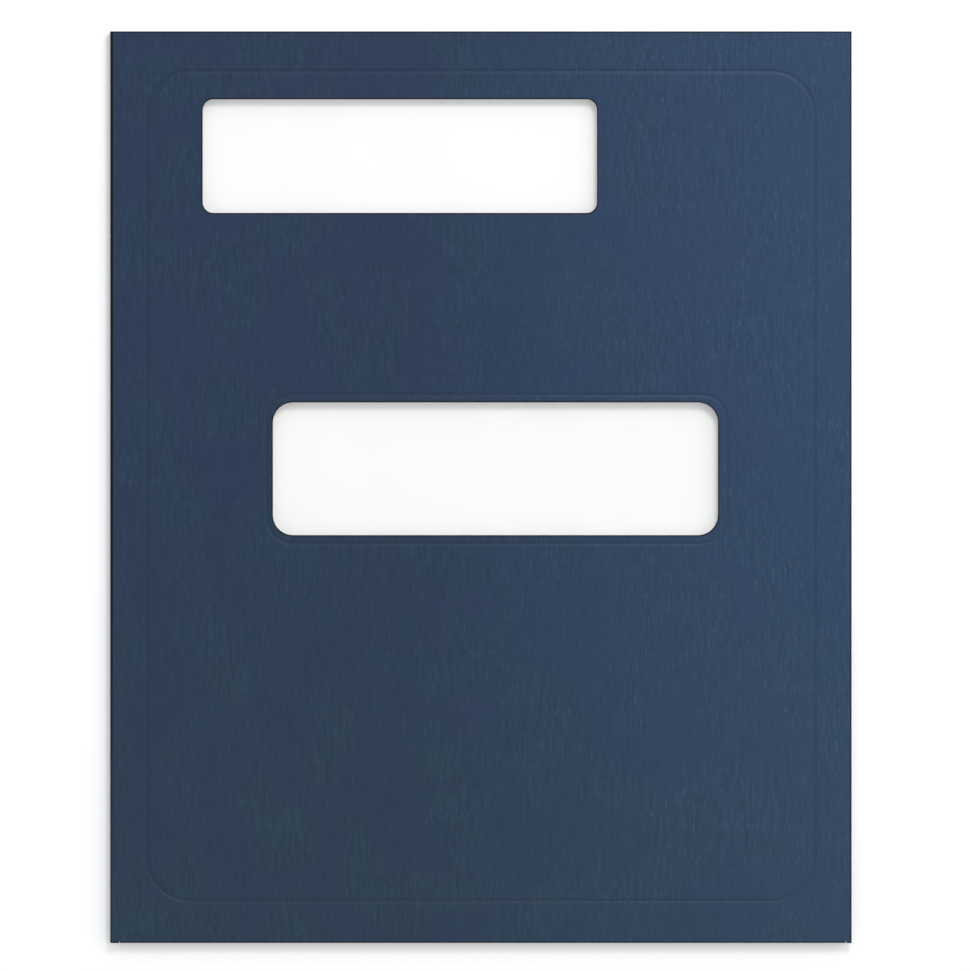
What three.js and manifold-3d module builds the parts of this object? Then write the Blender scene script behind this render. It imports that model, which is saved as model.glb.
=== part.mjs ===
// Presentation folder of creased card: two covers with inside pockets, joined by a narrow flat spine.
// Closed and lying on its back cover: +X to the opening edge, +Y to the top edge, +Z out of the front.
import * as THREE from "three";
import { mergeVertices } from "three/addons/utils/BufferGeometryUtils.js";
import Module from "manifold-3d";

const wasm = await Module();
wasm.setup();

// The card and the closed folder, in millimetres
const CARD = 0.36;
const COVER_WIDTH = 232.4;
const COVER_HEIGHT = 285.75;
const DOCUMENT_SPACE = 1.04;
const CREASE_GAP = 0.1;

// Upper window, from the edges of the front cover
const UPPER_LEFT = 29.0;
const UPPER_RIGHT = 79.8;
const UPPER_TOP = 21.3;
const UPPER_HEIGHT = 35.6;
const UPPER_RADIUS = 3.3;

// Lower window, from the edges of the front cover
const LOWER_LEFT = 51.0;
const LOWER_RIGHT = 41.9;
const LOWER_TOP = 116.3;
const LOWER_HEIGHT = 41.6;
const LOWER_RADIUS = 6.3;

// Debossed lines: their pressed section, the frame's margins to the middle of its line, and the
// distances from the lower window to the line round it
const LINE_WIDTH = 2.0;
const LINE_DEPTH = 0.18;
const FRAME_LEFT = 11.5;
const FRAME_RIGHT = 11.6;
const FRAME_TOP = 12.4;
const FRAME_BOTTOM = 13.2;
const FRAME_RADIUS = 13.8;
const WINDOW_LINE_LEFT = 1.9;
const WINDOW_LINE_RIGHT = 3.0;
const WINDOW_LINE_ABOVE = 2.4;
const WINDOW_LINE_BELOW = 2.6;
const WINDOW_LINE_RADIUS = 8.2;

// Pockets, folded up from the bottom edge and glued by a tab at the opening edge
const POCKET_HEIGHT = 101.6;
const POCKET_SPINE_MARGIN = 3.0;
const POCKET_SLANT = 9.0;
const POCKET_EDGE_MARGIN = 1.5;
const FOLD_RELIEF = 0.5;
const TAB_WIDTH = 9.0;
const TAB_TAPER = 5.0;

// Facets: steps in a quarter turn of a corner, in a half turn of a fold, and across a debossed line
const CORNER_STEPS = 10;
const FOLD_STEPS = 8;
const LINE_STEPS = 6;

// Colour of the dyed card, matt and slightly rough
const NAVY = 0x334a66;
const NAVY_ROUGHNESS = 0.72;

// Derived levels and edges: a cover, its glue tab and its pocket are three layers of card
const SPINE_HEIGHT = 6 * CARD + DOCUMENT_SPACE;
const LEFT = -COVER_WIDTH / 2;
const RIGHT = COVER_WIDTH / 2;
const BOTTOM = -COVER_HEIGHT / 2;
const TOP = COVER_HEIGHT / 2;
const CREASE_INSET = CREASE_GAP / Math.SQRT2;
const FOLD_RADIUS = 1.5 * CARD;
const FOLD_INSIDE = 0.5 * CARD;
const POCKET_LEFT = LEFT + POCKET_SPINE_MARGIN;
const POCKET_RIGHT = RIGHT - POCKET_EDGE_MARGIN;
const POCKET_TOP = BOTTOM + POCKET_HEIGHT;

// How far a cutter runs past the face that it cuts
const PAST = 1;

// Axes for a profile drawn in XZ and extruded along -Y, and for one drawn in YZ and extruded along +X
const X = new THREE.Vector3(1, 0, 0);
const Y = new THREE.Vector3(0, 1, 0);
const Z = new THREE.Vector3(0, 0, 1);
const XZ_PLANE = new THREE.Matrix4().makeBasis(X, Z, Y.clone().negate());
const YZ_PLANE = new THREE.Matrix4().makeBasis(Y, Z, X);

// A closed three.js geometry as a solid that can be joined and cut
function solid(geometry) {
  geometry.deleteAttribute("normal");
  geometry.deleteAttribute("uv");
  const merged = mergeVertices(geometry, 1e-5);
  return new wasm.Manifold(new wasm.Mesh({
    numProp: 3,
    vertProperties: merged.attributes.position.array,
    triVerts: Uint32Array.from(merged.index.array),
  }));
}

// A flat outline, given as [x, y] pairs, extruded by a depth
function prism(outline, depth) {
  const shape = new THREE.Shape(outline.map(([x, y]) => new THREE.Vector2(x, y)));
  return new THREE.ExtrudeGeometry(shape, { depth, bevelEnabled: false });
}

// An outline in plan, standing between two levels
function plate(outline, low, high) {
  return solid(prism(outline, high - low).translate(0, 0, low));
}

// A profile of [x, z] pairs, running from one y to a higher one
function profileAlongY(profile, from, to) {
  return solid(prism(profile, to - from).applyMatrix4(XZ_PLANE).translate(0, to, 0));
}

// A profile of [y, z] pairs, running from one x to a higher one
function profileAlongX(profile, from, to) {
  return solid(prism(profile, to - from).applyMatrix4(YZ_PLANE).translate(from, 0, 0));
}

// Points on an arc, from one angle to another, in degrees
function arc(cx, cy, radius, from, to, steps) {
  const points = [];
  for (let i = 0; i <= steps; i++) {
    const angle = THREE.MathUtils.degToRad(from + ((to - from) * i) / steps);
    points.push([cx + radius * Math.cos(angle), cy + radius * Math.sin(angle)]);
  }
  return points;
}

// A box in plan measured in from the edges of a cover
function inset(left, right, top, bottom) {
  return { left: LEFT + left, right: RIGHT - right, top: TOP - top, bottom: BOTTOM + bottom };
}

// The same box grown by a distance at each side
function grown(box, left, right = left, above = left, below = left) {
  return {
    left: box.left - left,
    right: box.right + right,
    top: box.top + above,
    bottom: box.bottom - below,
  };
}

// Outline of a box with round corners, anticlockwise
function rounded(box, radius) {
  const corners = [
    [box.right - radius, box.top - radius],
    [box.left + radius, box.top - radius],
    [box.left + radius, box.bottom + radius],
    [box.right - radius, box.bottom + radius],
  ];
  return corners.flatMap(([x, y], i) => arc(x, y, radius, 90 * i, 90 * i + 90, CORNER_STEPS));
}

// A ring along a rounded box, lofted between the outlines that each [offset, z] of its section gives
function ringAlong(box, radius, section) {
  const loops = section.map(([offset, z]) =>
    rounded(grown(box, offset), radius + offset).map(([x, y]) => [x, y, z]));
  const around = loops[0].length;
  const index = [];
  for (let j = 0; j < loops.length; j++) {
    const next = ((j + 1) % loops.length) * around;
    for (let i = 0; i < around; i++) {
      const ahead = (i + 1) % around;
      const [a, b, c, d] = [j * around + i, j * around + ahead, next + ahead, next + i];
      index.push(a, b, c, a, c, d);
    }
  }
  const geometry = new THREE.BufferGeometry();
  geometry.setAttribute("position", new THREE.Float32BufferAttribute(loops.flat(2), 3));
  geometry.setIndex(index);
  return solid(geometry);
}

// Bottom of the pressed line across its width, as [offset, z] from a face at the given level
function pressedCurve(face) {
  const curve = [];
  for (let i = 0; i <= LINE_STEPS; i++) {
    const across = i / LINE_STEPS;
    curve.push([LINE_WIDTH * (across - 0.5), face - LINE_DEPTH * Math.sin(Math.PI * across) ** 2]);
  }
  return curve;
}

// A line debossed from the face above: a groove there and the same form standing out of the inside
function deboss(cover, box, radius) {
  const half = LINE_WIDTH / 2;
  const face = SPINE_HEIGHT;
  const inside = face - CARD;
  const grooveTop = [[half, face + PAST], [-half, face + PAST]];
  const ridgeTop = [[half, inside + CARD / 4], [-half, inside + CARD / 4]];
  const groove = ringAlong(box, radius, [...pressedCurve(face), ...grooveTop]);
  const ridge = ringAlong(box, radius, [...pressedCurve(inside), ...ridgeTop]);
  return cover.subtract(groove).add(ridge);
}

// A window through the front cover
function cutWindow(cover, box, radius) {
  const low = SPINE_HEIGHT - CARD - PAST;
  return cover.subtract(plate(rounded(box, radius), low, SPINE_HEIGHT + PAST));
}

// The pocket of a cover: bottom fold, slanted panel, side fold and glue tab.
// AT gives the level of a depth counted from the outer face of the cover.
function pocket(at) {
  const foldY = BOTTOM + FOLD_RADIUS;
  const sideX = POCKET_RIGHT - CARD;
  const leg = foldY + 4 * CARD;
  const lay = (points) => points.map(([across, depth]) => [across, at(depth)]);
  const between = (outline, a, b) => plate(outline, Math.min(at(a), at(b)), Math.max(at(a), at(b)));

  const hook = profileAlongX(lay([
    [leg, 0],
    ...arc(foldY, FOLD_RADIUS, FOLD_RADIUS, 270, 90, FOLD_STEPS),
    [POCKET_TOP, 3 * CARD],
    [POCKET_TOP, 2 * CARD],
    ...arc(foldY, FOLD_RADIUS, FOLD_INSIDE, 90, 270, FOLD_STEPS),
    [leg, CARD],
  ]), POCKET_LEFT, sideX);

  const slant = between([
    [POCKET_LEFT - PAST, foldY],
    [POCKET_LEFT, foldY],
    [POCKET_LEFT + POCKET_SLANT, POCKET_TOP + PAST],
    [POCKET_LEFT - PAST, POCKET_TOP + PAST],
  ], FOLD_RADIUS, 4 * CARD);

  const tabBottom = BOTTOM + 2 * FOLD_RADIUS;
  const sideFold = profileAlongY(lay([
    [sideX - CARD, CARD],
    ...arc(sideX, 2 * CARD, CARD, -90, 90, FOLD_STEPS),
    [sideX - CARD, 3 * CARD],
  ]), tabBottom, POCKET_TOP);

  const tab = between([
    [sideX, tabBottom],
    [sideX, POCKET_TOP],
    [sideX - TAB_WIDTH, POCKET_TOP - TAB_TAPER],
    [sideX - TAB_WIDTH, tabBottom + TAB_TAPER],
  ], CARD / 2, 2.5 * CARD);

  return hook.subtract(slant).add(sideFold).add(tab);
}

// A cover panel mitred at its crease, with its pocket folded up against the inner face
function coverPanel(at) {
  const edge = LEFT + CREASE_INSET;
  const section = [[edge, at(0)], [RIGHT, at(0)], [RIGHT, at(CARD)], [edge + CARD, at(CARD)]];
  const low = Math.min(at(0), at(CARD)) - PAST;
  const relief = plate([
    [POCKET_LEFT - FOLD_RELIEF, BOTTOM - PAST],
    [POCKET_RIGHT - CARD + FOLD_RELIEF, BOTTOM - PAST],
    [POCKET_RIGHT - CARD + FOLD_RELIEF, BOTTOM + FOLD_RADIUS],
    [POCKET_LEFT - FOLD_RELIEF, BOTTOM + FOLD_RADIUS],
  ], low, low + CARD + 2 * PAST);
  return profileAlongY(section, BOTTOM, TOP).subtract(relief).add(pocket(at));
}

function backCover() {
  return coverPanel((depth) => depth);
}

function frontCover() {
  const upper = inset(UPPER_LEFT, UPPER_RIGHT, UPPER_TOP, COVER_HEIGHT - UPPER_TOP - UPPER_HEIGHT);
  const lower = inset(LOWER_LEFT, LOWER_RIGHT, LOWER_TOP, COVER_HEIGHT - LOWER_TOP - LOWER_HEIGHT);
  const frame = inset(FRAME_LEFT, FRAME_RIGHT, FRAME_TOP, FRAME_BOTTOM);
  const windowLine = grown(
    lower, WINDOW_LINE_LEFT, WINDOW_LINE_RIGHT, WINDOW_LINE_ABOVE, WINDOW_LINE_BELOW);

  let cover = coverPanel((depth) => SPINE_HEIGHT - depth);
  cover = cutWindow(cover, upper, UPPER_RADIUS);
  cover = cutWindow(cover, lower, LOWER_RADIUS);
  cover = deboss(cover, frame, FRAME_RADIUS);
  return deboss(cover, windowLine, WINDOW_LINE_RADIUS);
}

// The flat spine, mitred at both creases to meet the covers
function spine() {
  return profileAlongY([
    [LEFT, CREASE_INSET],
    [LEFT + CARD, CREASE_INSET + CARD],
    [LEFT + CARD, SPINE_HEIGHT - CREASE_INSET - CARD],
    [LEFT, SPINE_HEIGHT - CREASE_INSET],
  ], BOTTOM, TOP);
}

// A named mesh of the card from a finished solid
function cardMesh(name, body) {
  const { vertProperties, triVerts } = body.getMesh();
  const geometry = new THREE.BufferGeometry();
  geometry.setAttribute("position", new THREE.BufferAttribute(vertProperties, 3));
  geometry.setIndex(new THREE.BufferAttribute(triVerts, 1));
  geometry.computeVertexNormals();
  const material = new THREE.MeshStandardMaterial({
    color: NAVY,
    roughness: NAVY_ROUGHNESS,
    metalness: 0,
  });
  const mesh = new THREE.Mesh(geometry, material);
  mesh.name = name;
  return mesh;
}

const folder = new THREE.Group();
folder.add(
  cardMesh("back_cover", backCover()),
  cardMesh("spine", spine()),
  cardMesh("front_cover", frontCover()),
);

export default folder;
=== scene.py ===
import logging
import math
from dataclasses import dataclass, field, replace
from enum import Enum
from typing import Callable, Iterable

import bmesh
import bpy
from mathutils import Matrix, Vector


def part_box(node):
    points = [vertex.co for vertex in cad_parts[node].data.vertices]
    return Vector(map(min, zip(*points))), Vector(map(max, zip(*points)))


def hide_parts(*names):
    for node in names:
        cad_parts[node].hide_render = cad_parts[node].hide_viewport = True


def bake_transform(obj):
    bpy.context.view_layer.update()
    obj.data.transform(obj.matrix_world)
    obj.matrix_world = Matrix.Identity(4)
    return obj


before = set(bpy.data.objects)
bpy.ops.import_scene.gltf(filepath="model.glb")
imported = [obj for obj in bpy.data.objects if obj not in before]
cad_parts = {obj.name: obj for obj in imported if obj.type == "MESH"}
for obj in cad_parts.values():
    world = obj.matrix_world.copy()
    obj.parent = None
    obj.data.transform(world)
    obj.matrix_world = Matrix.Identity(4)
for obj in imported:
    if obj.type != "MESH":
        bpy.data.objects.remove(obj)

log = logging.getLogger("folder")

MM = 0.001
NEAR = 0.002 * MM
UV_MAP = "card"
PRESSED = "pressed"
EDGE_SHADE = "edge_shade"

SHARP_EDGE = math.radians(60)
SMOOTH_EDGE = math.radians(20)
CREASE_STEPS = 6
FOLD_STEPS = 10

Where = Callable[[Vector], bool]
Colour = tuple[float, float, float]


class Side(Enum):
    """Which cover of the folder, by the direction that its outer face looks."""

    FRONT = 1
    BACK = -1


class Layer(Enum):
    """Material slots of a folded sheet, in the order that its thickness gives them."""

    OUTSIDE = 0
    INSIDE = 1
    CUT_EDGE = 2


class Element(Enum):
    """What is picked in edit mode."""

    VERT = "verts"
    EDGE = "edges"
    FACE = "faces"


@dataclass(frozen=True)
class RoundedBox:
    """A rectangle in plan with round corners, in metres.

    Args:
        left: Lowest x.
        right: Highest x.
        bottom: Lowest y.
        top: Highest y.
        radius: Radius of the corners.
    """

    left: float
    right: float
    bottom: float
    top: float
    radius: float = 0.0

    def grown(self, by: float) -> "RoundedBox":
        """Moves every side out by the same distance, and the corners with them."""
        return RoundedBox(
            self.left - by, self.right + by, self.bottom - by, self.top + by, self.radius + by
        )

    def distance(self, point: Vector) -> float:
        """Distance of a point from the outline in plan.

        Args:
            point: The point to measure.

        Returns:
            The distance in metres, negative inside the outline.
        """
        half_x = (self.right - self.left) / 2 - self.radius
        half_y = (self.top - self.bottom) / 2 - self.radius
        x = abs(point.x - (self.left + self.right) / 2) - half_x
        y = abs(point.y - (self.bottom + self.top) / 2) - half_y
        outside = math.hypot(max(x, 0.0), max(y, 0.0))
        return outside + min(max(x, y), 0.0) - self.radius


@dataclass(frozen=True)
class ClosedFolder:
    """Where the closed folder lies and how thick its card is, read from the solids.

    Args:
        left: The outer face of the spine.
        right: The opening edge.
        bottom: The bottom edge.
        top: The top edge.
        height: The outer face of the front cover above the table.
        card: Thickness of the card.
    """

    left: float
    right: float
    bottom: float
    top: float
    height: float
    card: float

    @classmethod
    def from_solids(cls) -> "ClosedFolder":
        """Reads the sizes from the boxes of the spine and the front cover."""
        spine_low, spine_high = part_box("spine")
        _, cover_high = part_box("front_cover")
        return cls(
            left=spine_low.x,
            right=cover_high.x,
            bottom=spine_low.y,
            top=spine_high.y,
            height=cover_high.z,
            card=spine_high.x - spine_low.x,
        )

    def inset(self, left: float, right: float, top: float, bottom: float,
              radius: float = 0.0) -> RoundedBox:
        """A box in plan, measured in from the edges of the closed folder.

        Args:
            left: Distance from the spine.
            right: Distance from the opening edge.
            top: Distance from the top edge.
            bottom: Distance from the bottom edge.
            radius: Radius of the corners.

        Returns:
            The box in the row frame.
        """
        return RoundedBox(
            self.left + left, self.right - right, self.bottom + bottom, self.top - top, radius
        )

    @property
    def tall(self) -> float:
        """Length of the folder from its bottom edge to its top edge."""
        return self.top - self.bottom


class Bench:
    """Edit-mode work on one piece, whose parts are picked by their place.

    Args:
        piece: The object to edit.
    """

    def __init__(self, piece: bpy.types.Object) -> None:
        self.piece = piece

    def __enter__(self) -> "Bench":
        """Makes the piece the only one selected and enters edit mode."""
        choose(self.piece)
        bpy.ops.object.mode_set(mode="EDIT")
        return self

    def __exit__(self, *unused: object) -> None:
        """Goes back to object mode."""
        bpy.ops.object.mode_set(mode="OBJECT")

    def pick(self, element: Element, where: Where, marked: bool = False) -> int:
        """Selects the elements whose vertices all lie where the test says.

        Args:
            element: Vertices, edges or faces.
            where: The test of a vertex's place.
            marked: Take only edges that are marked as seams.

        Returns:
            How many elements are selected.
        """
        bpy.ops.mesh.select_mode(type=element.name)
        bpy.ops.mesh.select_all(action="DESELECT")
        mesh = bmesh.from_edit_mesh(self.piece.data)
        picked = 0
        for item in getattr(mesh, element.value):
            points = [item.co] if element is Element.VERT else [v.co for v in item.verts]
            if marked and not item.seam:
                continue
            if all(where(point) for point in points):
                item.select_set(True)
                picked += 1
        bmesh.update_edit_mesh(self.piece.data)
        return picked

    def cut(self, point: Vector, normal: Vector) -> None:
        """Cuts every face along a plane, and keeps both sides."""
        bpy.ops.mesh.select_all(action="SELECT")
        bpy.ops.mesh.bisect(plane_co=point, plane_no=normal)

    def fold(self, centre: Vector, axis: Vector, angle: float, steps: int) -> None:
        """Spins the selected edge into a rounded fold and leaves its far edge selected.

        Args:
            centre: A point on the fold's axis.
            axis: Direction of the axis; the sheet turns round it by the right-hand rule.
            angle: How far the sheet turns.
            steps: Segments in the fold.
        """
        bpy.ops.mesh.spin(steps=steps, angle=-angle, center=centre, axis=axis, dupli=False)

    def extend(self, by: Vector) -> None:
        """Extrudes the selected edge into a flat panel."""
        bpy.ops.mesh.extrude_region_move(TRANSFORM_OT_translate={"value": by})


def choose(*pieces: bpy.types.Object) -> None:
    """Makes these pieces the only ones selected, and the first one active."""
    bpy.ops.object.select_all(action="DESELECT")
    for piece in pieces:
        piece.select_set(True)
    bpy.context.view_layer.objects.active = pieces[0]


def flat_plate(name: str, box: RoundedBox, level: float, steps: int = 10) -> bpy.types.Object:
    """Adds a flat face of the box's outline, facing up.

    Args:
        name: Name of the new object.
        box: Outline in plan.
        level: Height of the face.
        steps: Segments in each round corner.

    Returns:
        The new object, at the origin.
    """
    bpy.ops.object.select_all(action="DESELECT")
    bpy.ops.mesh.primitive_plane_add(size=1)
    plate = bpy.context.object
    plate.name = name
    centre = Vector(((box.left + box.right) / 2, (box.bottom + box.top) / 2, level))
    with Bench(plate):
        bpy.ops.transform.resize(value=(box.right - box.left, box.top - box.bottom, 1))
        bpy.ops.transform.translate(value=centre)
        if box.radius:
            bpy.ops.mesh.bevel(offset=box.radius, segments=steps, affect="VERTICES")
    return plate


def add_weave_coordinates(piece: bpy.types.Object) -> None:
    """Lays the card's own coordinates, in metres, over each face along its flattest direction.

    Args:
        piece: The piece that gets the UV map.
    """
    layer = piece.data.uv_layers.new(name=UV_MAP)
    for polygon in piece.data.polygons:
        upright = abs(polygon.normal.x) > abs(polygon.normal.z)
        for loop in polygon.loop_indices:
            place = piece.data.vertices[piece.data.loops[loop].vertex_index].co
            layer.data[loop].uv = (place.z if upright else place.x, place.y)


@dataclass
class DebossedLine:
    """A narrow line pressed into the front cover along a rounded box.

    Args:
        name: What the line is called.
        path: Where the line is deepest.
        width: Width of the pressed section.
        depth: Depth of the pressed section.
        steps: Segments across the line.
        rim: Width of the flat strip kept along each side, which holds the shading.
        lean: Under 1 the outer flank is the steeper one, at 1 both are alike.
        corner_steps: Segments in each round corner.
    """

    name: str
    path: RoundedBox
    width: float = 2.0 * MM
    depth: float = 0.24 * MM
    steps: int = 12
    rim: float = 0.15 * MM
    lean: float = 1.0
    corner_steps: int = 16

    @property
    def lowest(self) -> float:
        """Where the lowest point is, as a share of the width from the outer side."""
        return 0.5 ** (1 / self.lean)

    @property
    def outer(self) -> RoundedBox:
        """Outline of the pressed strip and its outer rim."""
        return self.path.grown(self.width * self.lowest + self.rim)

    @property
    def inner(self) -> RoundedBox:
        """Outline inside the pressed strip and its inner rim."""
        return self.path.grown(self.width * (self.lowest - 1) - self.rim)

    def drop(self, step: int) -> float:
        """How far the surface has dropped after some steps across the line."""
        return self.depth * math.sin(math.pi * (step / self.steps) ** self.lean) ** 2

    def build(self, level: float) -> bpy.types.Object:
        """Presses the strip by insets, each a little deeper or shallower than the last.

        Args:
            level: Height of the face that the line is pressed into.

        Returns:
            The strip alone, open inside and out.
        """
        strip = flat_plate(self.name, self.outer, level, steps=self.corner_steps)
        with Bench(strip) as bench:
            bpy.ops.mesh.inset(thickness=self.rim)
            for step in range(self.steps):
                rise = self.drop(step) - self.drop(step + 1)
                bpy.ops.mesh.inset(thickness=self.width / self.steps, depth=rise)
            bpy.ops.mesh.inset(thickness=self.rim)
            inside = self.inner
            bench.pick(Element.FACE, lambda p: inside.distance(p) < NEAR)
            bpy.ops.mesh.delete(type="ONLY_FACE")
            bpy.ops.mesh.select_all(action="SELECT")
            bpy.ops.mesh.region_to_loop()
            bpy.ops.mesh.mark_seam()
        pressed = strip.data.attributes.new(PRESSED, "FLOAT", "POINT")
        for vertex, value in zip(strip.data.vertices, pressed.data):
            value.value = (level - vertex.co.z) / self.depth
        return strip


@dataclass
class FoldedCover:
    """One cover of the folder with its pocket and its half of the spine, folded from one sheet.

    The sheet's outer side is modelled first, flat and then folded, and gets its thickness last.

    Args:
        folder: The closed folder that the cover belongs to.
        side: Front or back.
        crease_radius: Outside radius of the crease at the spine.
        glue: Thickness of the glue under the pocket's tab.
        tab_bend: Outside radius of the tab's fold, in thicknesses of card.
        pocket_height: Height of the pocket from the bottom edge.
        pocket_spine_margin: From the spine to the pocket at the bottom.
        pocket_slant: How much further from the spine the pocket's top corner is.
        pocket_edge_margin: From the opening edge to the pocket.
        relief: Width of the small notch at each end of the bottom fold.
        tab_width: Width of the glued tab.
        tab_taper: How much shorter the tab is at each end of its free edge.
        edge_radius: Rounding of the cut edges.
        edge_band: Width of the band of painted shade along cut edges and folds.
        windows: Outlines cut through the cover.
        lines: Debossed lines.
    """

    folder: ClosedFolder
    side: Side
    crease_radius: float = 0.5 * MM
    glue: float = 0.02 * MM
    tab_bend: float = 1.05
    pocket_height: float = 101.6 * MM
    pocket_spine_margin: float = 3.0 * MM
    pocket_slant: float = 9.0 * MM
    pocket_edge_margin: float = 1.5 * MM
    relief: float = 0.2 * MM
    tab_width: float = 9.0 * MM
    tab_taper: float = 5.0 * MM
    edge_radius: float = 0.06 * MM
    edge_band: float = 0.5 * MM
    windows: list[RoundedBox] = field(default_factory=list)
    lines: list[DebossedLine] = field(default_factory=list)

    @property
    def name(self) -> str:
        """Name of the finished piece."""
        return f"{self.side.name.lower()}_card"

    @property
    def inward(self) -> int:
        """Sign of the direction from the cover's outer face into the folder."""
        return -self.side.value

    @property
    def fold_radius(self) -> float:
        """Outside radius of the bottom fold, which lets the tab lie between pocket and cover."""
        return (self.folder.card * (1 + 2 * self.tab_bend) + self.glue) / 2

    @property
    def fold_y(self) -> float:
        """Where the cover starts to curve into the bottom fold."""
        return self.folder.bottom + self.fold_radius

    @property
    def pocket_left(self) -> float:
        """The pocket's edge beside the spine, at the bottom."""
        return self.folder.left + self.pocket_spine_margin

    @property
    def pocket_right(self) -> float:
        """Where the pocket starts to curve into the tab's fold."""
        return self.folder.right - self.pocket_edge_margin - self.folder.card * self.tab_bend

    @property
    def pocket_top(self) -> float:
        """The pocket's open edge."""
        return self.folder.bottom + self.pocket_height

    def level(self, depth: float) -> float:
        """Height of a point at some depth under the cover's outer face."""
        outer = self.folder.height if self.side is Side.FRONT else 0.0
        return outer + self.inward * depth

    def at_level(self, depth: float) -> Where:
        """A test for points at some depth under the outer face."""
        return lambda p: abs(p.z - self.level(depth)) < NEAR

    def build(self) -> bpy.types.Object:
        """Models the cover.

        Returns:
            The finished piece, closed, with its material slots still empty.
        """
        sheet = self.outline()
        if self.windows or self.lines:
            sheet = self.cut_and_press(sheet)
        self.fold_spine(sheet)
        self.fold_pocket(sheet)
        self.face_outwards(sheet)
        self.thicken(sheet)
        self.soften_cut_edges(sheet)
        sheet.name = self.name
        sheet.data.name = self.name
        self.shade_edges(sheet)
        add_weave_coordinates(sheet)
        return sheet

    def outline(self) -> bpy.types.Object:
        """The flat cover as one face, with the relief notch at its bottom fold."""
        folder = self.folder
        box = folder.inset(self.crease_radius, 0, 0, 0)
        sheet = flat_plate(self.name, box, self.level(0))
        notch = RoundedBox(
            self.pocket_left - self.relief,
            self.pocket_right + self.relief,
            folder.bottom,
            self.fold_y,
        )
        with Bench(sheet) as bench:
            for x in (notch.left, self.pocket_left, self.pocket_right, notch.right):
                bench.cut(Vector((x, 0, 0)), Vector((1, 0, 0)))
            bench.cut(Vector((0, self.fold_y, 0)), Vector((0, 1, 0)))
            bench.pick(Element.FACE, lambda p: notch.distance(p) < NEAR)
            bpy.ops.mesh.delete(type="FACE")
            bpy.ops.mesh.select_all(action="SELECT")
            bpy.ops.mesh.dissolve_faces()
            bpy.ops.mesh.inset(thickness=self.edge_band)
        return sheet

    def cut_and_press(self, sheet: bpy.types.Object) -> bpy.types.Object:
        """Opens the windows and sets the debossed lines into the flat cover.

        Args:
            sheet: The flat cover as one face.

        Returns:
            The flat cover, filled between its outlines.
        """
        inner = self.folder.inset(self.crease_radius, 0, 0, 0).grown(-self.edge_band)
        with Bench(sheet) as bench:
            bench.pick(Element.FACE, lambda p: inner.distance(p) < NEAR)
            bpy.ops.mesh.region_to_loop()
            bpy.ops.mesh.mark_seam()
            bench.pick(Element.FACE, lambda p: inner.distance(p) < NEAR)
            bpy.ops.mesh.delete(type="ONLY_FACE")
        holes = [self.window_band(box) for box in self.windows]
        strips = [line.build(self.level(0)) for line in self.lines]
        choose(sheet, *holes, *strips)
        bpy.ops.object.join()

        frame_line, window_line = self.lines
        fields: list[Where] = [
            lambda p: frame_line.outer.distance(p) > -NEAR,
            lambda p: frame_line.inner.distance(p) < NEAR and window_line.outer.distance(p) > -NEAR,
            lambda p: window_line.inner.distance(p) < NEAR,
        ]
        with Bench(sheet) as bench:
            for where in fields:
                edges = bench.pick(Element.EDGE, where, marked=True)
                bpy.ops.mesh.fill()
                log.info("%s: filled a field inside %d edges", self.name, edges)
            bpy.ops.mesh.select_all(action="SELECT")
            bpy.ops.mesh.mark_seam(clear=True)
        return sheet

    def window_band(self, box: RoundedBox) -> bpy.types.Object:
        """A narrow band round a window, whose outer loop is marked for filling.

        Args:
            box: Outline of the window.

        Returns:
            The band alone.
        """
        outer = box.grown(self.edge_band)
        band = flat_plate("window_band", outer, self.level(0))
        with Bench(band) as bench:
            bpy.ops.mesh.inset(thickness=self.edge_band)
            bench.pick(Element.FACE, lambda p: box.distance(p) < NEAR)
            bpy.ops.mesh.delete(type="ONLY_FACE")
            bench.pick(Element.EDGE, lambda p: abs(outer.distance(p)) < NEAR)
            bpy.ops.mesh.mark_seam()
        return band

    def fold_spine(self, sheet: bpy.types.Object) -> None:
        """Folds the cover's half of the spine at the crease.

        Args:
            sheet: The flat cover.
        """
        bend_x = self.folder.left + self.crease_radius
        flat = self.at_level(0)
        centre = Vector((bend_x, 0, self.level(self.crease_radius)))
        half = self.folder.height / 2 - self.crease_radius
        with Bench(sheet) as bench:
            bench.pick(Element.EDGE, lambda p: abs(p.x - bend_x) < NEAR and flat(p))
            bench.fold(centre, Vector((0, self.inward, 0)), math.pi / 2, steps=CREASE_STEPS)
            bench.extend(Vector((0, 0, self.inward * half)))

    def fold_pocket(self, sheet: bpy.types.Object) -> None:
        """Folds the pocket up from the bottom edge and its tab in from the opening edge.

        Args:
            sheet: The cover with its notched bottom edge.
        """
        flat = self.at_level(0)
        depth = 2 * self.fold_radius
        inside = self.at_level(depth)
        bend = self.folder.card * self.tab_bend
        fold_centre = Vector((0, self.fold_y, self.level(self.fold_radius)))
        tab_centre = Vector((self.pocket_right, 0, self.level(depth - bend)))
        tab_bottom = self.folder.bottom + 2 * self.fold_radius
        tab_height = self.pocket_top - tab_bottom
        with Bench(sheet) as bench:
            bench.pick(
                Element.EDGE,
                lambda p: abs(p.y - self.fold_y) < NEAR and flat(p)
                and self.pocket_left - NEAR < p.x < self.pocket_right + NEAR,
            )
            bench.fold(fold_centre, Vector((-self.inward, 0, 0)), math.pi, steps=FOLD_STEPS)
            bench.extend(Vector((0, self.pocket_top - self.fold_y, 0)))

            bench.pick(
                Element.VERT,
                lambda p: abs(p.y - self.pocket_top) < NEAR and abs(p.x - self.pocket_left) < NEAR
                and inside(p),
            )
            bpy.ops.transform.translate(value=(self.pocket_slant, 0, 0))

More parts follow.
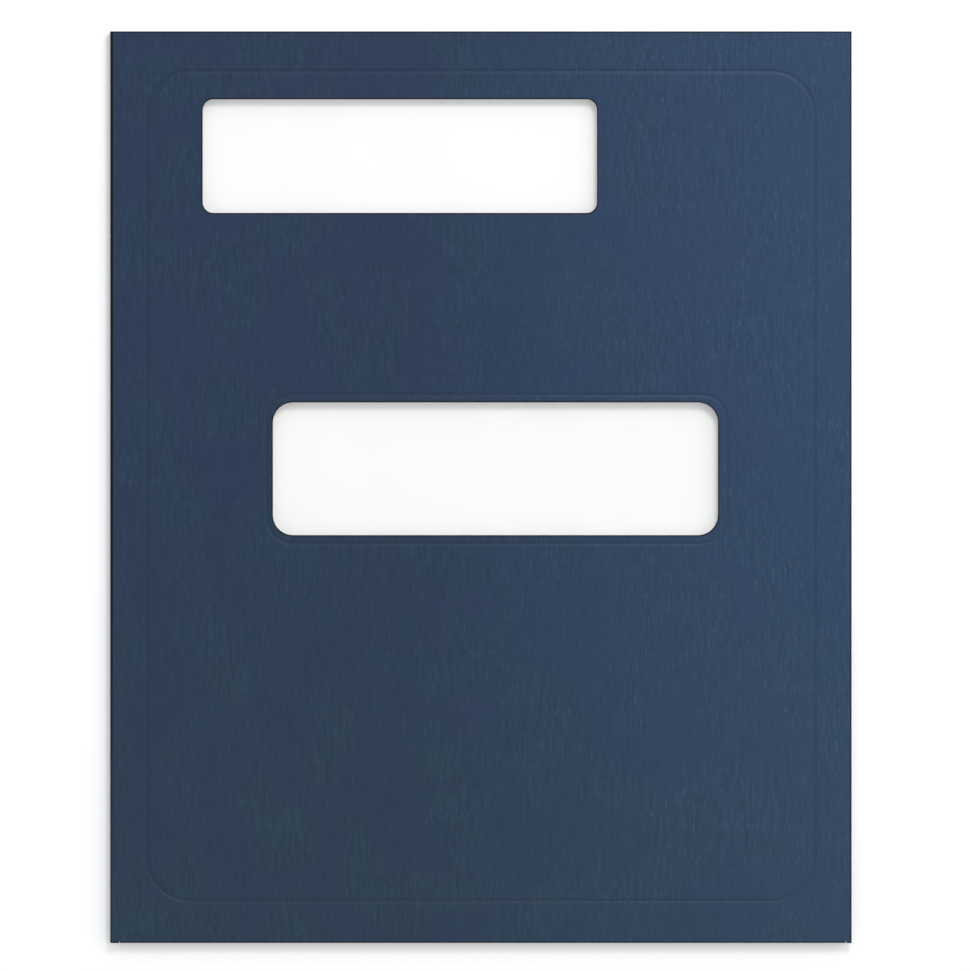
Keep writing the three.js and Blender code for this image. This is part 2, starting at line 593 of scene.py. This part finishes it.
            bench.pick(Element.FACE, lambda p: inside(p) and p.y > self.fold_y - NEAR)
            bpy.ops.mesh.bisect(plane_co=(0, tab_bottom, 0), plane_no=(0, 1, 0))
            bench.pick(
                Element.EDGE,
                lambda p: abs(p.x - self.pocket_right) < NEAR and inside(p)
                and p.y > tab_bottom - NEAR,
            )
            bench.fold(tab_centre, Vector((0, self.inward, 0)), math.pi, steps=FOLD_STEPS)
            bench.extend(Vector((-self.tab_width, 0, 0)))
            bpy.ops.transform.resize(value=(1, 1 - 2 * self.tab_taper / tab_height, 1))

    def face_outwards(self, sheet: bpy.types.Object) -> None:
        """Drops loose edges, merges what meets, and turns every face to the sheet's outer side.

        Args:
            sheet: The folded sheet, still without thickness.
        """
        flat = self.at_level(0)
        with Bench(sheet):
            bpy.ops.mesh.select_all(action="SELECT")
            bpy.ops.mesh.delete_loose(use_verts=True, use_edges=True, use_faces=False)
            bpy.ops.mesh.select_all(action="SELECT")
            bpy.ops.mesh.remove_doubles(threshold=NEAR / 4)
            bpy.ops.mesh.normals_make_consistent(inside=False)
        vertices = sheet.data.vertices
        looks = sum(
            polygon.normal.z * polygon.area
            for polygon in sheet.data.polygons
            if all(flat(vertices[index].co) for index in polygon.vertices)
        )
        if looks * self.side.value < 0:
            with Bench(sheet):
                bpy.ops.mesh.select_all(action="SELECT")
                bpy.ops.mesh.flip_normals()

    def thicken(self, sheet: bpy.types.Object) -> None:
        """Gives the sheet its thickness, inwards, with its inner side and cut edges in own slots.

        Args:
            sheet: The folded sheet.
        """
        for layer in Layer:
            sheet.data.materials.append(None)
        wall = sheet.modifiers.new("Card", "SOLIDIFY")
        wall.thickness = self.folder.card
        wall.offset = -1
        wall.use_even_offset = True
        wall.material_offset = Layer.INSIDE.value
        wall.material_offset_rim = Layer.CUT_EDGE.value
        choose(sheet)
        bpy.ops.object.modifier_apply(modifier=wall.name)

    def soften_cut_edges(self, sheet: bpy.types.Object) -> None:
        """Rounds the cut edges a little, apart from the hidden joint in the middle of the spine.

        Args:
            sheet: The sheet with its thickness.
        """
        middle = self.folder.height / 2
        weight = sheet.data.attributes.new("bevel_weight_edge", "FLOAT", "EDGE")
        mesh = bmesh.new()
        mesh.from_mesh(sheet.data)
        mesh.edges.ensure_lookup_table()
        for edge, value in zip(mesh.edges, weight.data):
            sharp = len(edge.link_faces) == 2 and edge.calc_face_angle() > SHARP_EDGE
            joint = all(abs(vertex.co.z - middle) < NEAR for vertex in edge.verts)
            value.value = float(sharp and not joint)
        mesh.free()
        rounding = sheet.modifiers.new("Cut edges", "BEVEL")
        rounding.width = self.edge_radius
        rounding.segments = 2
        rounding.limit_method = "WEIGHT"
        rounding.use_clamp_overlap = True
        choose(sheet)
        bpy.ops.object.modifier_apply(modifier=rounding.name)
        for vertex in sheet.data.vertices:
            vertex.co.z = min(max(vertex.co.z, 0.0), self.folder.height)
        bpy.ops.object.shade_smooth_by_angle(angle=SMOOTH_EDGE)
        even = sheet.modifiers.new("Flat faces stay flat", "WEIGHTED_NORMAL")
        even.mode = "FACE_AREA"
        even.weight = 100
        even.keep_sharp = True
        bpy.ops.object.modifier_apply(modifier=even.name)

    def shade_edges(self, sheet: bpy.types.Object) -> None:
        """Marks the band along the cover's edges and windows, which the outside darkens as painted shade.

        Args:
            sheet: The finished sheet.
        """
        cover = self.folder.inset(0, 0, 0, 0)
        marks = sheet.data.attributes.new(EDGE_SHADE, "FLOAT", "POINT")
        for vertex, mark in zip(sheet.data.vertices, marks.data):
            if abs(vertex.co.z - self.level(0)) < self.folder.card / 2:
                edges = [cover, *self.windows]
                near = min(abs(edge.distance(vertex.co)) for edge in edges)
                mark.value = max(0.0, 1 - near / self.edge_band)

    def attach(self, piece: bpy.types.Object) -> None:
        """Lets the piece stand for the solids, which it hides.

        Args:
            piece: The finished cover.
        """
        if self.side is Side.FRONT:
            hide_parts("front_cover", "spine")
            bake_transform(piece)
        else:
            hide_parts("back_cover")
            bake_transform(piece)
        log.info("%s: %d faces", piece.name, len(piece.data.polygons))


def socket(tree: bpy.types.NodeTree, name: str, kind: str, flow: str,
           value: float | None = None) -> None:
    """Adds a named socket to a node group.

    Args:
        tree: The node group.
        name: Name of the socket.
        kind: Blender's name of the socket's type, without its NodeSocket prefix.
        flow: INPUT or OUTPUT.
        value: Its default, where it has one.
    """
    made = tree.interface.new_socket(name=name, in_out=flow, socket_type=f"NodeSocket{kind}")
    if value is not None:
        made.default_value = value


class Wiring:
    """Short ways to add and join nodes in one tree.

    Args:
        tree: The node tree to work in.
    """

    def __init__(self, tree: bpy.types.NodeTree) -> None:
        self.tree = tree
        tree.nodes.clear()

    def add(self, kind: str, label: str, **values: object) -> bpy.types.Node:
        """Adds a node.

        Args:
            kind: Blender's name of the node, without its ShaderNode prefix.
            label: What the node does here.
            **values: Properties of the node to set.

        Returns:
            The new node.
        """
        prefix = "" if kind.startswith("NodeGroup") else "ShaderNode"
        node = self.tree.nodes.new(f"{prefix}{kind}")
        node.label = label
        for key, value in values.items():
            setattr(node, key, value)
        return node

    def join(self, source: bpy.types.NodeSocket, target: bpy.types.NodeSocket) -> None:
        """Links one socket to another."""
        self.tree.links.new(source, target)

    def maths(self, operation: str, label: str, *inputs: object) -> bpy.types.NodeSocket:
        """Adds a maths node.

        Args:
            operation: Blender's name of the operation.
            label: What the node works out.
            *inputs: Its inputs in order, each a socket or a number.

        Returns:
            The node's result.
        """
        node = self.add("Math", label, operation=operation)
        for target, value in zip(node.inputs, inputs):
            if isinstance(value, bpy.types.NodeSocket):
                self.join(value, target)
            else:
                target.default_value = value
        return node.outputs[0]

    def spread(self, label: str, value: bpy.types.NodeSocket, span: tuple[float, float],
               out: tuple[float, float]) -> bpy.types.NodeSocket:
        """Maps one span of a value onto another, clamped.

        Args:
            label: What the node works out.
            value: The value to map.
            span: Where it starts and ends.
            out: What the start and the end become.

        Returns:
            The mapped value.
        """
        node = self.add("MapRange", label)
        self.join(value, node.inputs["Value"])
        for name, number in zip(("From Min", "From Max", "To Min", "To Max"), (*span, *out)):
            node.inputs[name].default_value = number
        return node.outputs["Result"]

    def blend(self, label: str, factor: object, first: object, second: object,
              mode: str = "MIX") -> bpy.types.NodeSocket:
        """Mixes two colours.

        Args:
            label: What the mix stands for.
            factor: Share of the second colour, a socket or a number.
            first: A socket or a colour.
            second: A socket or a colour.
            mode: Blender's name of the way to mix.

        Returns:
            The mixed colour.
        """
        node = self.add("Mix", label, data_type="RGBA", blend_type=mode)
        wanted = {0: factor, 6: first, 7: second}
        for number, value in wanted.items():
            target = node.inputs[number]
            if isinstance(value, bpy.types.NodeSocket):
                self.join(value, target)
            elif isinstance(value, tuple):
                target.default_value = (*value, 1.0)
            else:
                target.default_value = value
        return node.outputs[2]

    def stretched_noise(self, label: str, place: bpy.types.NodeSocket,
                        grain: "Grain") -> bpy.types.NodeSocket:
        """Adds noise whose grains have one size across and another along the sheet.

        Args:
            label: What the noise stands for.
            place: Coordinates on the sheet, in metres.
            grain: Size of the grains.

        Returns:
            The noise, around one half.
        """
        scale = self.add("VectorMath", f"{label} size", operation="MULTIPLY")
        self.join(place, scale.inputs[0])
        scale.inputs[1].default_value = (1 / grain.across, 1 / grain.along, 1.0)
        noise = self.add("TexNoise", label, noise_dimensions="2D")
        self.join(scale.outputs[0], noise.inputs["Vector"])
        noise.inputs["Scale"].default_value = 1.0
        noise.inputs["Detail"].default_value = grain.detail
        return noise.outputs["Fac"]


@dataclass(frozen=True)
class Grain:
    """Size of one grain of a pattern, in metres.

    Args:
        across: Size from the spine to the opening edge.
        along: Size up the cover.
        detail: How finely the grain breaks up.
    """

    across: float
    along: float
    detail: float


RIB = Grain(0.62 * MM, 6 * MM, 1.5)
BROAD_RIB = Grain(1.5 * MM, 14 * MM, 1.0)
PALE_DASH = Grain(0.8 * MM, 3.6 * MM, 2.0)
CROSS_THREAD = Grain(2.2 * MM, 0.35 * MM, 0.0)
PATCH = Grain(22 * MM, 30 * MM, 1.0)
PULP_CLOUD = Grain(22 * MM, 30 * MM, 2.0)
TOOTH = Grain(0.25 * MM, 0.3 * MM, 3.0)


def linen_group() -> bpy.types.NodeTree:
    """Fine linen embossing: upright ribs broken into dashes, stronger in some patches.

    Returns:
        The node group, with a height, a signed contrast of the ribs and a mask of the palest dashes.
    """
    name = "Linen embossing"
    if name in bpy.data.node_groups:
        return bpy.data.node_groups[name]
    tree = bpy.data.node_groups.new(name, "ShaderNodeTree")
    socket(tree, "Card", "Vector", "INPUT")
    socket(tree, "Cross thread", "Float", "INPUT", 0.25)
    socket(tree, "Height", "Float", "OUTPUT")
    socket(tree, "Ribs", "Float", "OUTPUT")
    socket(tree, "Dashes", "Float", "OUTPUT")
    wiring = Wiring(tree)
    inputs = wiring.add("NodeGroupInput", "in")
    outputs = wiring.add("NodeGroupOutput", "out")
    card = inputs.outputs["Card"]
    ribs = wiring.stretched_noise("ribs", card, RIB)
    broad = wiring.stretched_noise("broad ribs", card, BROAD_RIB)
    dashes = wiring.stretched_noise("dashes", card, PALE_DASH)
    cross = wiring.stretched_noise("cross thread", card, CROSS_THREAD)
    patches = wiring.stretched_noise("patches", card, PATCH)

    both = wiring.maths("MULTIPLY_ADD", "ribs and broad ribs", broad, 0.5, ribs)
    faint = wiring.maths("MULTIPLY", "faint cross thread", cross, inputs.outputs["Cross thread"])
    height = wiring.maths("ADD", "woven height", both, faint)
    strength = wiring.spread("patch strength", patches, (0.38, 0.62), (0.45, 1.0))
    contrast = wiring.spread("rib contrast", both, (0.45, 1.05), (0.0, 1.0))
    centred = wiring.maths("SUBTRACT", "centred", contrast, 0.5)
    mask = wiring.spread("pale dashes", dashes, (0.63, 0.76), (0.0, 1.0))
    wiring.join(height, outputs.inputs["Height"])
    wiring.join(wiring.maths("MULTIPLY", "ribs by patch", centred, strength), outputs.inputs["Ribs"])
    wiring.join(wiring.maths("MULTIPLY", "dashes by patch", mask, strength), outputs.inputs["Dashes"])
    return tree


def fibre_group() -> bpy.types.NodeTree:
    """Paper fibres: a soft cloudiness of the pulp and a fine tooth.

    Returns:
        The node group, with cloud and tooth values.
    """
    name = "Paper fibres"
    if name in bpy.data.node_groups:
        return bpy.data.node_groups[name]
    tree = bpy.data.node_groups.new(name, "ShaderNodeTree")
    socket(tree, "Card", "Vector", "INPUT")
    socket(tree, "Cloud", "Float", "OUTPUT")
    socket(tree, "Tooth", "Float", "OUTPUT")
    wiring = Wiring(tree)
    inputs = wiring.add("NodeGroupInput", "in")
    outputs = wiring.add("NodeGroupOutput", "out")
    card = inputs.outputs["Card"]
    wiring.join(wiring.stretched_noise("pulp cloud", card, PULP_CLOUD), outputs.inputs["Cloud"])
    wiring.join(wiring.stretched_noise("tooth", card, TOOTH), outputs.inputs["Tooth"])
    return tree


@dataclass(frozen=True)
class CardFinish:
    """What the finishes of the card have in common.

    Args:
        name: Name of the material.
        colour: Main colour.
        shade: The colour that the pulp's cloudiness drifts to.
        drift: How far it drifts.
        roughness: Roughness of the surface.
        gloss: Specular level of the surface.
        tooth: Height of the fine tooth.
        uneven: How far the roughness varies to either side.
    """

    name: str
    colour: Colour
    shade: Colour
    drift: float
    roughness: float
    gloss: float
    tooth: float
    uneven: float

    def material(self) -> bpy.types.Material:
        """Makes the finish, or returns it if it is made already."""
        if self.name in bpy.data.materials:
            return bpy.data.materials[self.name]
        made = bpy.data.materials.new(self.name)
        made.use_nodes = True
        made.diffuse_color = (*self.colour, 1.0)
        wiring = Wiring(made.node_tree)
        shader = wiring.add("BsdfPrincipled", self.name)
        out = wiring.add("OutputMaterial", "out")
        wiring.join(shader.outputs["BSDF"], out.inputs["Surface"])
        shader.inputs["Specular IOR Level"].default_value = self.gloss
        card = wiring.add("UVMap", "card coordinates", uv_map=UV_MAP).outputs["UV"]
        fibres = self.place(wiring, fibre_group(), "paper fibres", card)
        drift = wiring.spread("drift", fibres.outputs["Cloud"], (0.35, 0.65), (0.0, self.drift))
        colour = wiring.blend("pulp colour", drift, self.colour, self.shade)
        self.dress(wiring, shader, card, fibres, colour)
        return made

    @staticmethod
    def place(wiring: Wiring, tree: bpy.types.NodeTree, label: str,
              card: bpy.types.NodeSocket) -> bpy.types.Node:
        """Puts a shared node group into a material and feeds it the card's coordinates.

        Args:
            wiring: The material's wiring.
            tree: The node group.
            label: What the group gives here.
            card: The card's coordinates.

        Returns:
            The placed group.
        """
        group = wiring.add("Group", label, node_tree=tree)
        wiring.join(card, group.inputs["Card"])
        return group

    @staticmethod
    def bump(wiring: Wiring, shader: bpy.types.Node, height: bpy.types.NodeSocket,
             distance: float) -> None:
        """Feeds a height to the shader's normal.

        Args:
            wiring: The material's wiring.
            shader: Its Principled shader.
            height: The height, as a share of the distance.
            distance: Height of the relief, in metres.
        """
        node = wiring.add("Bump", "relief")
        node.inputs["Strength"].default_value = 1.0
        node.inputs["Distance"].default_value = distance
        wiring.join(height, node.inputs["Height"])
        wiring.join(node.outputs["Normal"], shader.inputs["Normal"])

    def dress(self, wiring: Wiring, shader: bpy.types.Node, card: bpy.types.NodeSocket,
              fibres: bpy.types.Node, colour: bpy.types.NodeSocket) -> None:
        """Finishes a plain paper surface.

        Args:
            wiring: The material's wiring.
            shader: Its Principled shader.
            card: The card's coordinates.
            fibres: The placed fibre group.
            colour: The colour so far.
        """
        wiring.join(colour, shader.inputs["Base Color"])
        rough = wiring.spread(
            "uneven roughness", fibres.outputs["Tooth"], (0.3, 0.7),
            (self.roughness - self.uneven, self.roughness + self.uneven),
        )
        wiring.join(rough, shader.inputs["Roughness"])
        self.bump(wiring, shader, fibres.outputs["Tooth"], self.tooth)


@dataclass(frozen=True)
class LinenFinish(CardFinish):
    """The dyed outside of the card, embossed like fine linen.

    Args:
        rib_height: Height of the embossed ribs.
        rib_tone_and_painted_light: Share by which the ribs are lighter and the gaps darker, partly the
            linen's own tone and partly painted light and shade of the embossing.
        dash: Colour of the palest dashes.
        dash_and_sheen_strength: How much of that colour shows; only a third of it on the spine's side, as
            painted sheen that is stronger towards the opening edge.
        painted_light_colour: Colour towards the opening edge: painted light, which makes that side of the
            cover lighter.
        painted_light_span: Where the painted light starts and ends, across from the middle of the folder.
        painted_light_kept_low: Share of the painted light that is left at the bottom edge.
        painted_light_hue: Factors that turn the colour greener at the bottom edge, as painted light that
            is bluer at the top.
        painted_light_hue_span: Where that painted hue starts and ends, up from the middle of the folder.
        edge_shade: How much painted shade darkens the band along edges and folds.
        pressed_out: Share of the embossing that the debossed lines press out.
        burnished: Roughness of the debossed lines.
        groove_painted_shade: How much painted shade darkens the bottom of the debossed lines.
    """

    rib_height: float
    rib_tone_and_painted_light: float
    dash: Colour
    dash_and_sheen_strength: float
    painted_light_colour: Colour
    painted_light_span: tuple[float, float]
    painted_light_kept_low: float
    painted_light_hue: Colour
    painted_light_hue_span: tuple[float, float]
    edge_shade: float
    pressed_out: float
    burnished: float
    groove_painted_shade: float

    def dress(self, wiring: Wiring, shader: bpy.types.Node, card: bpy.types.NodeSocket,
              fibres: bpy.types.Node, colour: bpy.types.NodeSocket) -> None:
        """Adds the embossing, painted light towards the opening edge, painted shade along the edges and
        in the lines, and the smoother debossed lines.

        Args:
            wiring: The material's wiring.
            shader: Its Principled shader.
            card: The card's coordinates.
            fibres: The placed fibre group.
            colour: The colour so far.
        """
        linen = self.place(wiring, linen_group(), "linen embossing", card)
        pressed = self.mark(wiring, PRESSED, (0.0, 0.6), (0.0, 1.0))
        # Painted shade: a dark band along the cut edges, the windows and the folds.
        edge = self.mark(wiring, EDGE_SHADE, (0.0, 0.45), (0.0, self.edge_shade))
        kept = wiring.maths(
            "MULTIPLY_ADD", "embossing kept in the lines", pressed, -self.pressed_out, 1.0
        )

        across = wiring.add("SeparateXYZ", "across the card")
        wiring.join(card, across.inputs[0])
        # Painted light: the colour is lighter towards the opening edge, with less of it at the bottom.
        painted_light = wiring.spread("painted_light", across.outputs[0], self.painted_light_span, (0.0, 1.0))
        lowered = wiring.spread("towards the bottom", across.outputs[1], self.painted_light_hue_span, (0.0, 1.0))
        spared = wiring.spread("fading kept", lowered, (0.0, 1.0), (1.0, self.painted_light_kept_low))
        painted_light = wiring.maths("MULTIPLY", "fading, less at the bottom", painted_light, spared)
        colour = wiring.blend("faded dye", painted_light, colour, self.painted_light_colour)
        # Painted light: greener towards the bottom edge, bluer at the top.
        colour = wiring.blend("painted hue at the bottom", lowered, colour, self.painted_light_hue, mode="MULTIPLY")
        # Ribs lighter, gaps darker: partly the linen's own tone, partly painted light and shade of the
        # embossing.
        ribs = wiring.maths("MULTIPLY", "ribs outside the lines", linen.outputs["Ribs"], kept)
        level = wiring.maths("MULTIPLY_ADD", "rib level", ribs, 2 * self.rib_tone_and_painted_light, 1.0)
        scaled = wiring.add("VectorMath", "ribs lighter, gaps darker", operation="SCALE")
        wiring.join(colour, scaled.inputs[0])
        wiring.join(level, scaled.inputs["Scale"])
        # Painted sheen: the pale dashes show three times as strongly towards the opening edge as at the
        # spine.
        weaker = wiring.spread(
            "dashes weaker at the spine", painted_light, (0.0, 0.8), (self.dash_and_sheen_strength / 3, self.dash_and_sheen_strength)
        )
        pale = wiring.maths("MULTIPLY", "dash strength", linen.outputs["Dashes"], weaker)
        colour = wiring.blend("pale dashes", pale, scaled.outputs[0], self.dash)
        # Painted shade in the bottom of the debossed lines.
        deepest = self.mark(wiring, PRESSED, (0.35, 1.0), (0.0, self.groove_painted_shade))
        # Painted shade along the edges and in the bottom of the debossed lines, mixed in as black.
        darker = wiring.maths("MAXIMUM", "edges or deepest lines", edge, deepest)
        colour = wiring.blend("darker edges and lines", darker, colour, (0.0, 0.0, 0.0))
        wiring.join(colour, shader.inputs["Base Color"])

        rough = wiring.spread(
            "uneven roughness", linen.outputs["Height"], (0.4, 1.2),
            (self.roughness + self.uneven, self.roughness - self.uneven),
        )
        smoother = self.burnished - self.roughness
        rough = wiring.maths("MULTIPLY_ADD", "burnished lines", pressed, smoother, rough)
        wiring.join(rough, shader.inputs["Roughness"])

        relief = wiring.maths("MULTIPLY", "embossed height", linen.outputs["Height"], kept)
        relief = wiring.maths(
            "MULTIPLY_ADD", "with tooth", fibres.outputs["Tooth"], self.tooth / self.rib_height, relief
        )
        self.bump(wiring, shader, relief, self.rib_height)

    @staticmethod
    def mark(wiring: Wiring, name: str, span: tuple[float, float],
             out: tuple[float, float]) -> bpy.types.NodeSocket:
        """Reads a mark that the mesh carries.

        Args:
            wiring: The material's wiring.
            name: Name of the mesh's attribute.
            span: Where the mark starts and ends.
            out: What the start and the end become.

        Returns:
            The mapped mark.
        """
        read = wiring.add("Attribute", name, attribute_name=name)
        return wiring.spread(f"{name} span", read.outputs["Fac"], span, out)


NAVY_LINEN = LinenFinish(
    name="Navy linen card",
    colour=(0.0184, 0.0356, 0.0778),
    shade=(0.0188, 0.0392, 0.0745),
    drift=1.0,
    roughness=0.6,
    gloss=0.15,
    tooth=0.004 * MM,
    uneven=0.06,
    rib_height=0.03 * MM,
    rib_tone_and_painted_light=0.13,
    dash=(0.048, 0.085, 0.148),
    dash_and_sheen_strength=0.9,
    painted_light_colour=(0.0278, 0.0580, 0.1225),
    painted_light_span=(-25 * MM, 125 * MM),
    painted_light_kept_low=0.7,
    painted_light_hue=(1.09, 1.10, 0.94),
    painted_light_hue_span=(20 * MM, -140 * MM),
    edge_shade=0.95,
    pressed_out=0.6,
    burnished=0.42,
    groove_painted_shade=0.06,
)
WHITE_STOCK = CardFinish(
    name="White inside of the card",
    colour=(0.932, 0.929, 0.924),
    shade=(0.915, 0.911, 0.906),
    drift=0.6,
    roughness=0.75,
    gloss=0.2,
    tooth=0.006 * MM,
    uneven=0.05,
)
CUT_PULP = CardFinish(
    name="Cut edge of the card",
    colour=(0.55, 0.58, 0.63),
    shade=(0.38, 0.43, 0.50),
    drift=1.0,
    roughness=0.9,
    gloss=0.2,
    tooth=0.02 * MM,
    uneven=0.05,
)


@dataclass
class Studio:
    """White table, soft light and the camera over the folder.

    Args:
        folder: The closed folder.
        table_size: Side of the white table.
        table_gap: How far the table lies under the folder, so that no faces coincide.
        table_shade: How white the table is under the light, which draws the folder's shadow.
        table_glow: White that the camera sees on the table besides, shadow or not.
        table_bounce: How white the table is for the light that it sends back to the folder.
        sky: Level of the soft light from all round.
        sky_colour: Its colour.
        sky_slope: How much brighter that light is towards +x, +y and +z, as a share of its level.
        lamp_power: Power of the soft lamp, in watts.
        lamp_place: Where the soft lamp hangs.
        lamp_size: Side of the lamp's square face.
        lens: Focal length of the camera, in millimetres.
        sensor: Width of the camera's sensor, in millimetres.
        clip: Nearest and furthest distance that the camera sees, in metres.
        image: Width and height of the picture, in pixels.
        scale: Size of one pixel at the front cover, in metres.
        cover_centre: Where the middle of the cover lies in the picture, in pixels.
    """

    folder: ClosedFolder
    table_size: float = 6.0
    table_gap: float = 0.1 * MM
    table_shade: float = 0.91
    table_glow: float = 0.12
    table_bounce: float = 0.9
    sky: float = 0.865
    sky_colour: Colour = (0.98, 0.99, 1.0)
    sky_slope: tuple[float, float, float] = (0.30, 0.25, 0.0)
    lamp_power: float = 2.7
    lamp_place: tuple[float, float, float] = (0.26, 0.62, 0.74)
    lamp_size: float = 0.25
    lens: float = 250.0
    sensor: float = 36.0
    clip: tuple[float, float] = (0.1, 20.0)
    image: tuple[int, int] = (970, 971)
    scale: float = 0.31343 * MM
    cover_centre: tuple[float, float] = (480.4, 486.7)

    def build(self) -> None:
        """Sets up the camera, the light and the table."""
        self.camera()
        self.world()
        self.lamp()
        self.table()
        view = bpy.context.scene.view_settings
        view.view_transform = "Standard"

    def camera(self) -> None:
        """Looks straight down, so that the cover fills the picture as photographed."""
        data = bpy.data.cameras.new("camera")
        data.lens = self.lens
        data.sensor_width = self.sensor
        camera = bpy.data.objects.new("camera", data)
        bpy.context.scene.collection.objects.link(camera)
        width, height = self.image
        span = max(width, height) * self.scale
        right = (width - 1) / 2 - self.cover_centre[0]
        up = self.cover_centre[1] - (height - 1) / 2
        camera.location = (
            right * self.scale,
            up * self.scale,
            self.folder.height + span * self.lens / self.sensor,
        )
        data.clip_start, data.clip_end = self.clip
        bpy.context.scene.camera = camera

    def world(self) -> None:
        """Soft light from all round, brighter towards the top, and seen as plain white."""
        world = bpy.data.worlds.new("studio")
        world.use_nodes = True
        bpy.context.scene.world = world
        wiring = Wiring(world.node_tree)
        out = wiring.add("OutputWorld", "out")
        light = wiring.add("Background", "light")
        light.inputs["Color"].default_value = (*self.sky_colour, 1.0)
        direction = wiring.add("TexCoord", "direction").outputs["Generated"]
        towards = wiring.add("VectorMath", "towards the bright side", operation="DOT_PRODUCT")
        wiring.join(direction, towards.inputs[0])
        towards.inputs[1].default_value = self.sky_slope
        level = wiring.maths("MULTIPLY_ADD", "sky level", towards.outputs["Value"], self.sky, self.sky)
        wiring.join(level, light.inputs["Strength"])
        white = wiring.add("Background", "white backdrop")
        white.inputs["Color"].default_value = (1.0, 1.0, 1.0, 1.0)
        mixed = wiring.add("MixShader", "backdrop or light")
        wiring.join(self.seen(wiring), mixed.inputs[0])
        wiring.join(light.outputs[0], mixed.inputs[1])
        wiring.join(white.outputs[0], mixed.inputs[2])
        wiring.join(mixed.outputs[0], out.inputs["Surface"])

    @staticmethod
    def seen(wiring: Wiring) -> bpy.types.NodeSocket:
        """Tells the rays that see the backdrop from those that only carry light.

        Args:
            wiring: The wiring to add the test to.

        Returns:
            One for rays that the camera, a mirror or glass sends.
        """
        path = wiring.add("LightPath", "ray")
        either = wiring.maths(
            "MAXIMUM", "camera or mirror", path.outputs["Is Camera Ray"], path.outputs["Is Glossy Ray"]
        )
        return wiring.maths("MAXIMUM", "or glass", either, path.outputs["Is Transmission Ray"])

    def lamp(self) -> None:
        """One soft lamp above the top edge, which draws the debossed lines."""
        data = bpy.data.lights.new("soft lamp", "AREA")
        data.shape = "SQUARE"
        data.size = self.lamp_size
        data.energy = self.lamp_power
        lamp = bpy.data.objects.new("soft lamp", data)
        bpy.context.scene.collection.objects.link(lamp)
        lamp.location = self.lamp_place
        lamp.rotation_mode = "QUATERNION"
        lamp.rotation_quaternion = Vector(self.lamp_place).to_track_quat("Z", "Y")

    def table(self) -> None:
        """A white table that keeps the folder's shadow."""
        half = self.table_size / 2
        box = RoundedBox(-half, half, -half, half)
        table = flat_plate("table", box, -self.table_gap)
        made = bpy.data.materials.new("White table")
        made.use_nodes = True
        wiring = Wiring(made.node_tree)
        out = wiring.add("OutputMaterial", "out")
        bounce = wiring.add("BsdfDiffuse", "bounce")
        bounce.inputs["Color"].default_value = (*[self.table_bounce] * 3, 1.0)
        shade = wiring.add("BsdfDiffuse", "shadow kept")
        shade.inputs["Color"].default_value = (*[self.table_shade] * 3, 1.0)
        glow = wiring.add("Emission", "white")
        glow.inputs["Strength"].default_value = self.table_glow
        visible = wiring.add("AddShader", "white with shadow")
        wiring.join(shade.outputs[0], visible.inputs[0])
        wiring.join(glow.outputs[0], visible.inputs[1])
        mixed = wiring.add("MixShader", "seen or bounce")
        wiring.join(self.seen(wiring), mixed.inputs[0])
        wiring.join(bounce.outputs[0], mixed.inputs[1])
        wiring.join(visible.outputs[0], mixed.inputs[2])
        wiring.join(mixed.outputs[0], out.inputs["Surface"])
        table.data.materials.append(made)


@dataclass
class PresentationFolder:
    """The whole folder: a front cover with windows and debossed lines, and a plain back cover.

    Args:
        closed: Where the closed folder lies.
        upper: Margins of the upper window from left, right, top and its height and radius.
        lower: The same for the lower window.
        frame_margins: Margins of the frame line's middle from left, right, top and bottom.
        frame_radius: Corner radius of the frame line.
        window_line_margins: From the lower window to its line's middle, left, right, above, below.
        window_line_radius: Corner radius of the lower window's line.
    """

    closed: ClosedFolder
    upper: tuple[float, ...] = (29.0 * MM, 79.8 * MM, 21.3 * MM, 35.6 * MM, 3.3 * MM)
    lower: tuple[float, ...] = (51.0 * MM, 41.9 * MM, 116.3 * MM, 41.6 * MM, 6.3 * MM)
    frame_margins: tuple[float, ...] = (11.5 * MM, 11.6 * MM, 12.4 * MM, 13.2 * MM)
    frame_radius: float = 13.8 * MM
    window_line_margins: tuple[float, ...] = (1.9 * MM, 3.0 * MM, 2.4 * MM, 2.6 * MM)
    window_line_radius: float = 8.2 * MM

    def window(self, margins: Iterable[float]) -> RoundedBox:
        """Works out a window's place on the closed folder.

        Args:
            margins: Margins from left, right and top, then height and corner radius.

        Returns:
            The window's outline.
        """
        left, right, top, height, radius = margins
        return self.closed.inset(left, right, top, self.closed.tall - top - height, radius)

    def lines(self) -> list[DebossedLine]:
        """Places the debossed lines.

        Returns:
            The frame line and the line round the lower window.
        """
        lower = self.window(self.lower)
        left, right, above, below = self.window_line_margins
        round_window = RoundedBox(
            lower.left - left, lower.right + right, lower.bottom - below, lower.top + above,
            self.window_line_radius,
        )
        frame_path = replace(self.closed.inset(*self.frame_margins), radius=self.frame_radius)
        return [
            DebossedLine("frame_line", frame_path, lean=0.7),
            DebossedLine("window_line", round_window),
        ]

    def build(self) -> list[bpy.types.Object]:
        """Models and dresses both covers.

        Returns:
            The finished pieces.
        """
        windows = [self.window(self.upper), self.window(self.lower)]
        covers = [
            FoldedCover(self.closed, Side.FRONT, windows=windows, lines=self.lines()),
            FoldedCover(self.closed, Side.BACK),
        ]
        finishes = {
            Layer.OUTSIDE: NAVY_LINEN,
            Layer.INSIDE: WHITE_STOCK,
            Layer.CUT_EDGE: CUT_PULP,
        }
        pieces = []
        for cover in covers:
            piece = cover.build()
            for layer, finish in finishes.items():
                piece.data.materials[layer.value] = finish.material()
            cover.attach(piece)
            pieces.append(piece)
        return pieces


def main() -> None:
    """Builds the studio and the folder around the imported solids."""
    logging.basicConfig(level=logging.INFO, format="%(message)s")
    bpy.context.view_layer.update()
    closed = ClosedFolder.from_solids()
    Studio(closed).build()
    pieces = PresentationFolder(closed).build()
    log.info("made %s", ", ".join(piece.name for piece in pieces))


if __name__ == "__main__":
    main()
